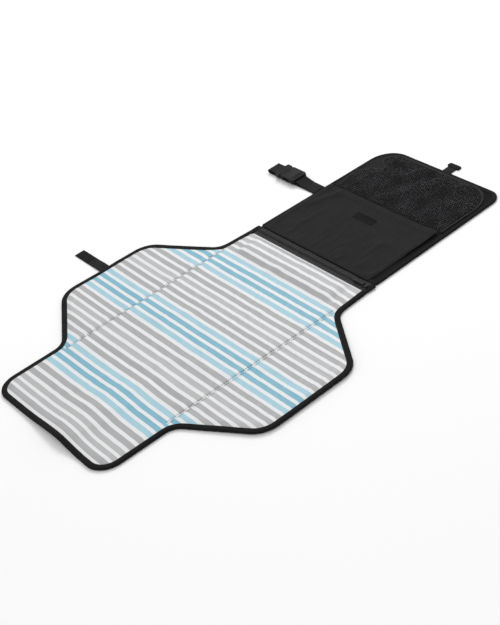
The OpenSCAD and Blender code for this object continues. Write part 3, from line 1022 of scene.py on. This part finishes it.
def pocket_top(x, y):
    z = lining_top(x, y) + 1.1 * MM + pocket_lift(x, y)
    z += np.clip(POCKET_RELIEF(x, y), 0, 4 * MM)
    z += 0.5 * MM * rough(x, y, 55, 38, 51.0) + 0.35 * MM * rough(x, y, 20, 26, 52.0)
    # A ridge and a dent beside it, running down to the right
    right, up = x - 57 * MM, y - 38 * MM
    across = 0.85 * right + 0.53 * up
    down = bell(0.53 * right - 0.85 * up, 0, 30 * MM)
    z += (1.5 * MM * bell(across, -20 * MM, 12 * MM) - 2.4 * MM * bell(across, 0, 10 * MM)) * down
    z += 0.9 * MM * bell(x, 88 * MM, 30 * MM) * bell(y - 0.4 * x, 62 * MM, 10 * MM)
    hem = smooth(154 * MM, 155 * MM, y)
    z += 0.45 * MM * hem
    floor_z = lining_top(x, y) + 0.75 * MM
    over_binding = 4.95 * MM * np.maximum(smooth(-136 * MM, -140.5 * MM, x),
                                          smooth(25 * MM, 20.5 * MM, y))
    return np.maximum(np.maximum(z, floor_z), over_binding)


cloth_piece("pocket_cloth", POCKET_SHAPE, pocket_top, 0.65 * MM, CLUTCH, 3 * MM,
            "back_lining_cloth", "back_pocket")


def box_line(x0, x1, y0, y1):
    return [(x0, y1), (x0, y0), (x1, y0), (x1, y1)]


for name, path in (
    ("pocket_sides", box_line(*mm(-137, 132.5, 18, 166))),
    ("pocket_hem", [mm(-144, 156.5), mm(133, 156.5)]),
):
    part(stitches(f"stitches_{name}", path, lambda x, y: pocket_top(x, y) + 0.12 * MM, THREAD),
         "clutch_back")

cloth_piece("patch_cloth", box_outline(*mm(-32, 18, 121, 135, 1.5)),
            lambda x, y: pocket_top(x, y) + 0.75 * MM + 0.7 * MM * smooth(129 * MM, 135 * MM, y),
            lambda x, y: pocket_top(x, y) + 0.15 * MM, LINING, 2 * MM, "pocket_cloth",
            "blank_patch")
part(stitches("stitches_patch", box_line(*mm(-30.5, 16.5, 122.5, 133)),
              lambda x, y: pocket_top(x, y) + 0.8 * MM, THREAD, *mm(3, 2, 0.25)), "clutch_back")


# Zip

def tape_top(x, y):
    return (2.4 * MM + 0.6 * MM * rough(x, y, 5, 14, 61.0)
            + 0.6 * MM * rough(x + 0.6 * y, y, 15, 20, 62.0))


for k, (near, far) in enumerate(((-8.2 * MM, ZIP_Y - 0.9 * MM), (ZIP_Y + 0.9 * MM, 13.4 * MM))):
    cloth_piece(f"zip_tape_{k + 1}", box_outline(*mm(-153, 153), near, far), tape_top, 0.45 * MM,
                TAPE_CLOTH, 2.2 * MM, "zip_facing", None if k else "zip_tapes")
# Stitches along the zip, in thread painted light as a painted highlight along the seams
for k, y in enumerate(mm(-6.2, -2.6, 6.6, 10.2)):
    part(stitches(f"stitches_zip_{k + 1}", [(-151 * MM, y), (151 * MM, y)],
                  lambda x, y: tape_top(x, y) + 0.15 * MM, ZIP_THREAD_WITH_HIGHLIGHT, *mm(8, 5.4, 0.42)),
         "clutch_back")
for k, s in enumerate((-1, 1)):
    x0, x1 = sorted(mm(s * 148.5, s * 159.2))
    cloth_piece(f"zip_end_tab_{k + 1}", box_outline(x0, x1, *mm(-7.5, 11.2, 2)),
                lambda x, y: 2.95 * MM + 0.4 * MM * bell(y, ZIP_Y, 6 * MM), level(2.4 * MM),
                LINING, 2 * MM, "zip_tape_1")
for node, name, bevel, material, place, slot in (
    ("zip_teeth", "zip_teeth_rows", 0.25, TEETH, "clutch_back", None),
    ("zip_slider", "slider_body", 0.35, METAL, "zip_slider", "zip_metal"),
    ("zip_puller", "puller_body", 0.3, METAL, "zip_puller", "zip_metal"),
):
    part(refined(node, name, bevel * MM, material), place, slot, node)


# Mesh pocket on the flap: a hexagonal net draped over a bulge

NET_Y = 170 * MM
MESH_SHAPE = outline([
    mm(137.5, 170, 2), mm(136, 297.5, 52), mm(-114, 297.5, 14), mm(-121, 268, 7),
    mm(-96, 255, 3), mm(-124, 240, 9), mm(-137, 212, 16), mm(-131, 170, 2),
])
NET_RELIEF = settled(
    triangles(EVERYWHERE, MESH_SHAPE, 5 * MM),
    lambda x, y: (from_edge(x, y, MESH_SHAPE) < 3 * MM)
    & ((y > NET_Y + 8 * MM) | (np.abs(x) > 105 * MM) | (np.abs(x) < 20 * MM)),
    0.03, bending=1.5)


def mesh_bulge(x, y):
    """The net's height: slack, arched towards the right corner, tight at its sewn edges."""
    edge = from_edge(x, y, MESH_SHAPE)
    sewn = smooth(-3 * MM, 17 * MM, edge)
    loose = np.maximum(bell(x, -134 * MM, 14 * MM) * bell(y, 214 * MM, 20 * MM),
                       bell(x, -120 * MM, 12 * MM) * bell(y, 276 * MM, 12 * MM))
    arch = np.hypot((x - 150 * MM) * 0.9, y - 262 * MM)
    z = 0.8 * MM + 0.8 * np.clip(NET_RELIEF(x, y), 0, 7 * MM)
    for r in (40 * MM, 74 * MM, 118 * MM):
        z = z + 2.2 * MM * bell(arch, r, 9 * MM)
    return 4.3 * MM + 3.1 * MM * np.tanh((z * sewn + 3.0 * MM * loose) / (3.1 * MM))


def net_piece():
    """Hexagons that share their corners, turned into yarn."""
    pitch = 4.6 * MM
    row = pitch * math.sqrt(3) / 2
    lo, hi = MESH_SHAPE.min(axis=0), MESH_SHAPE.max(axis=0)
    centres = np.array([
        (lo[0] + (i + 0.5 * (j % 2)) * pitch, lo[1] + j * row)
        for j in range(int((hi[1] - lo[1]) / row) + 1)
        for i in range(int((hi[0] - lo[0]) / pitch) + 1)
    ])
    centres = centres[inside(centres, MESH_SHAPE)
                      & (edge_distance(centres, MESH_SHAPE) > pitch * 0.6)]
    index, verts, faces = {}, [], []
    size = pitch / math.sqrt(3)
    for cx, cy in centres:
        face = []
        for k in range(6):
            a = math.pi / 6 + k * math.pi / 3
            p = (cx + size * math.cos(a), cy + size * math.sin(a))
            key = (round(p[0] * 2e4), round(p[1] * 2e4))
            near = [(key[0] + i, key[1] + j) for i in (0, 1, -1) for j in (0, 1, -1)]
            found = next((index[q] for q in near if q in index), None)
            if found is None:
                found = index[key] = len(verts)
                verts.append(p)
            face.append(found)
        faces.append(face)
    flat = np.array(verts)
    z = mesh_bulge(flat[:, 0], flat[:, 1])
    mesh = bpy.data.meshes.new("net")
    mesh.from_pydata(np.column_stack([flat, z]).tolist(), [], faces)
    obj = make_object("flap_net", mesh, NET)
    wire = obj.modifiers.new("yarn", "WIREFRAME")
    wire.thickness = 0.95 * MM
    wire.offset = 0
    wire.use_replace = True
    wire.use_even_offset = False
    dg = bpy.context.evaluated_depsgraph_get()
    made = bpy.data.meshes.new_from_object(obj.evaluated_get(dg))
    obj.modifiers.clear()
    obj.data = made
    made.name = "net_yarn"
    flat_uv(made)
    made.materials.clear()
    made.materials.append(NET)
    return obj


net = part(net_piece(), "clutch_flap", "mesh", "flap_mesh")
start = int(np.argmax(MESH_SHAPE[:, 0] - 50 * MESH_SHAPE[:, 1]))
rim = np.roll(MESH_SHAPE, -start, axis=0)
rim = rim[rim[:, 1] > NET_Y + 2 * MM]
part(tape_tube("net_edge_tape", rim, 2.2 * MM, 0.75 * MM,
               lambda x, y: mesh_bulge(x, y) - 0.9 * MM, ELASTIC, seed=90),
     "clutch_flap", "binding_tape")


# Plain cloth strip down the flap's left, under the slack edge of the net

FLAP_HEM = 10 * MM


def strip_top(x, y):
    over_binding = 5.0 * MM * smooth(FLAP_HEM - 7.5 * MM, FLAP_HEM - 3.5 * MM,
                                     FLAP_HEM - from_edge(x, y, CLUTCH_LINE))
    return np.maximum(lining_top(x, y) + 0.8 * MM, over_binding)


STRIP_SHAPE = outline([
    mm(-113, 172, 2), mm(-97, 303.5, 5), mm(-144.2, 303.5, 44), mm(-147.6, 172, 2),
])
cloth_piece("side_strip_cloth", STRIP_SHAPE, strip_top, 0.6 * MM, CLUTCH, 3 * MM,
            "flap_lining_cloth", "flap_side_strip", "clutch_flap")
part(stitches("stitches_side_strip", [mm(-141, 176), mm(-137, 262)],
              lambda x, y: strip_top(x, y) + 0.12 * MM, THREAD), "clutch_flap")


# ---- Pull tab, strap, buckle and closure tab ----

tab = ribbon("pull_tab_neck",
             [(4 * MM, y, 1.15 * MM) for y in np.linspace(306.4 * MM, 326 * MM, 7)],
             [(0, 0, 1)] * 7, (1, 0, 0), 19.5 * MM, 1.7 * MM, WEBBING)
part(tab, "pull_tab", "webbing", "pull_tab")
tip = slab("pull_tab_tip", triangles(EVERYWHERE, box_outline(*mm(-10, 18, 322.5, 332, 3)), 2 * MM),
           lambda x, y: 2.75 * MM + 0.25 * MM * bell(y, 327 * MM, 3 * MM), level(0.1 * MM), BINDING)
part(tip, "pull_tab", "webbing")
part(stitches("stitches_pull_tab", [mm(-4, 321), mm(12, 321)], level(2.15 * MM), THREAD,
              3 * MM, 2 * MM), "pull_tab")

STRAP_Y = 145 * MM
WEB_W, WEB_T = 25 * MM, 1.4 * MM
STRAP_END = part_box("strap_loop")[0].x
LOOP_Z = 7.5 * MM


def strap_ribbon(name, points, width=WEB_W):
    """Webbing along points (x, z) at the strap's Y, its face turned by the path's slope."""
    path = along(points, 2.5 * MM)
    d = np.gradient(path, axis=0)
    d /= np.linalg.norm(d, axis=1, keepdims=True)
    centres = [(x, STRAP_Y, z) for x, z in path]
    normals = [(-dz, 0, dx) for dx, dz in d]
    return ribbon(name, centres, normals, (0, 1, 0), width, WEB_T, WEBBING)


x = np.linspace(-152.9 * MM, -285 * MM, 60)
long_run = strap_ribbon("strap_long_webbing", np.column_stack(
    [x, 0.85 * MM + 0.35 * MM * (0.5 + 0.5 * np.sin(x / (17 * MM))) * (x > -200 * MM)]))
short_run = strap_ribbon("strap_short_webbing", [
    mm(-152.9, 2.4), mm(-170, 2.5), mm(-180, 2.7), mm(-190, 4.2), mm(-200, 6.6),
    (-207 * MM, LOOP_Z), (-209 * MM, LOOP_Z)], WEB_W - 1 * MM)
loop_r = (LOOP_Z + WEB_T / 2) / 2 - WEB_T / 2
loop_x = STRAP_END + loop_r + WEB_T / 2
turn = [(loop_x + loop_r * math.cos(a), loop_r + WEB_T / 2 + loop_r * math.sin(a))
        for a in np.linspace(1.5 * math.pi, 0.5 * math.pi, 20)]
loop = strap_ribbon("strap_tip_webbing", turn + [
    (-280 * MM, LOOP_Z - 0.1 * MM), (-270 * MM, LOOP_Z), (-262 * MM, LOOP_Z)])
part(long_run, "strap", "webbing", "strap_long")
part(short_run, "strap", "webbing", "strap_short")
part(loop, "buckle", "webbing", "strap_loop")
part(stitches("stitches_strap", [mm(-158, 135), mm(-158, 155)], level(3.2 * MM), THREAD), "strap")
part(refined("buckle_socket", "buckle_socket_shell", 0.9 * MM, PLASTIC), "strap",
     "buckle_plastic", "buckle_socket")
part(refined("buckle_prongs", "buckle_prong_end", 0.7 * MM, PLASTIC), "buckle",
     "buckle_plastic", "buckle_prongs")

TOP_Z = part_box("buckle_socket")[1].z


def ridge(name, x, width, body):
    """A raised rounded bar across the buckle; x and width in mm."""
    x, width = mm(x, width)
    ring = [(0.9 * MM * math.cos(a), 0.6 * MM * math.sin(a))
            for a in np.linspace(0, 2 * math.pi, 10, endpoint=False)]
    rings = []
    for t in np.linspace(-1, 1, 13):
        fat = math.sqrt(max(1 - abs(t) ** 6, 0.02))
        rings.append([(x + u * fat, STRAP_Y + t * width / 2, TOP_Z + v * fat) for u, v in ring])
    part(rings_mesh(name, rings, PLASTIC), body)


for k, (x, w) in enumerate(((-211.5, 24), (-214.5, 24), (-217.5, 24), (-242.5, 20))):
    ridge(f"socket_ridge_{k + 1}", x, w, "strap")
for k, (x, w) in enumerate(((-251, 22), (-258.5, 26))):
    ridge(f"prong_ridge_{k + 1}", x, w, "buckle")

TAB_X0, TAB_X1 = (corner.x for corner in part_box("closure_tab"))
TAB_Y = -231 * MM
tab_x = np.linspace(TAB_X1, TAB_X0, 30)
closure = ribbon("closure_tab_webbing", [
    (x, TAB_Y, 0.75 * MM + 1.0 * MM * bell(x, TAB_X1 - 16 * MM, 11 * MM)) for x in tab_x],
    [(0, 0, 1)] * 30, (0, 1, 0), 20 * MM, 1.2 * MM, WEBBING)
part(closure, "closure_tab", "webbing", "closure_tab")
low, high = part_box("closure_hook")
hooks = slab("hook_patch", triangles(EVERYWHERE, box_outline(
    low.x, high.x, low.y, high.y, 2 * MM), 1.6 * MM),
    lambda x, y: 2.0 * MM + 0.22 * MM * rough(x, y, 1.1, 1.1, 81.0),
    level(1.35 * MM), HOOKS)
part(hooks, "closure_tab", "hook_tape", "closure_hook")

for name in ("back_board", "flap_board"):
    board = frame["nodes"][name]
    board.data.materials.clear()
    board.data.materials.append(BOARD)
    if "UVMap" not in board.data.uv_layers:
        flat_uv(board.data)


# ---- Camera, floor and light ----

camera = add_object("camera", bpy.data.cameras.new("camera"))
# Where it stands and how it is turned, as fitted to the photograph's view
right = Vector((0.58312284, 0.77575832, -0.24117792))
up = Vector((-0.34826, 0.50693, 0.78851))
camera.matrix_world = Matrix.Translation((1.8385096, -1.07786466, 1.39296364)) @ Matrix(
    (right, up, right.cross(up))).transposed().to_4x4()
camera.data.sensor_fit = "AUTO"
camera.data.sensor_width = 36
camera.data.lens = 88.08
camera.data.clip_start, camera.data.clip_end = 0.05, 50
bpy.context.scene.camera = camera

floor_mesh = bpy.data.meshes.new("floor")
floor_mesh.from_pydata([(-9, -9, 0), (9, -9, 0), (9, 9, 0), (-9, 9, 0)], [], [(0, 1, 2, 3)])
floor_shade = Nodes("studio_floor", (0.97, 0.97, 0.97), 0.9, specular=0.1)
floor = make_object("floor", floor_mesh, floor_shade.material)
floor.location.z = -0.0004

world = bpy.data.worlds.new("studio")
bpy.context.scene.world = world
world.use_nodes = True
world.node_tree.nodes["Background"].inputs["Color"].default_value = (1, 1, 1, 1)
world.node_tree.nodes["Background"].inputs["Strength"].default_value = 0.68


def area_light(name, place, size, power):
    light = bpy.data.lights.new(name, "AREA")
    light.shape = "DISK"
    light.size = size
    light.energy = power
    obj = add_object(name, light)
    obj.location = place
    obj.rotation_euler = (Vector((0, -0.1, 0)) - Vector(place)).to_track_quat("-Z", "Y").to_euler()


area_light("key", (-1.6, 1.5, 2.2), 1.4, 43)
area_light("fill", (2.0, -1.6, 2.0), 2.2, 14)
bpy.context.scene.view_settings.view_transform = "Standard"
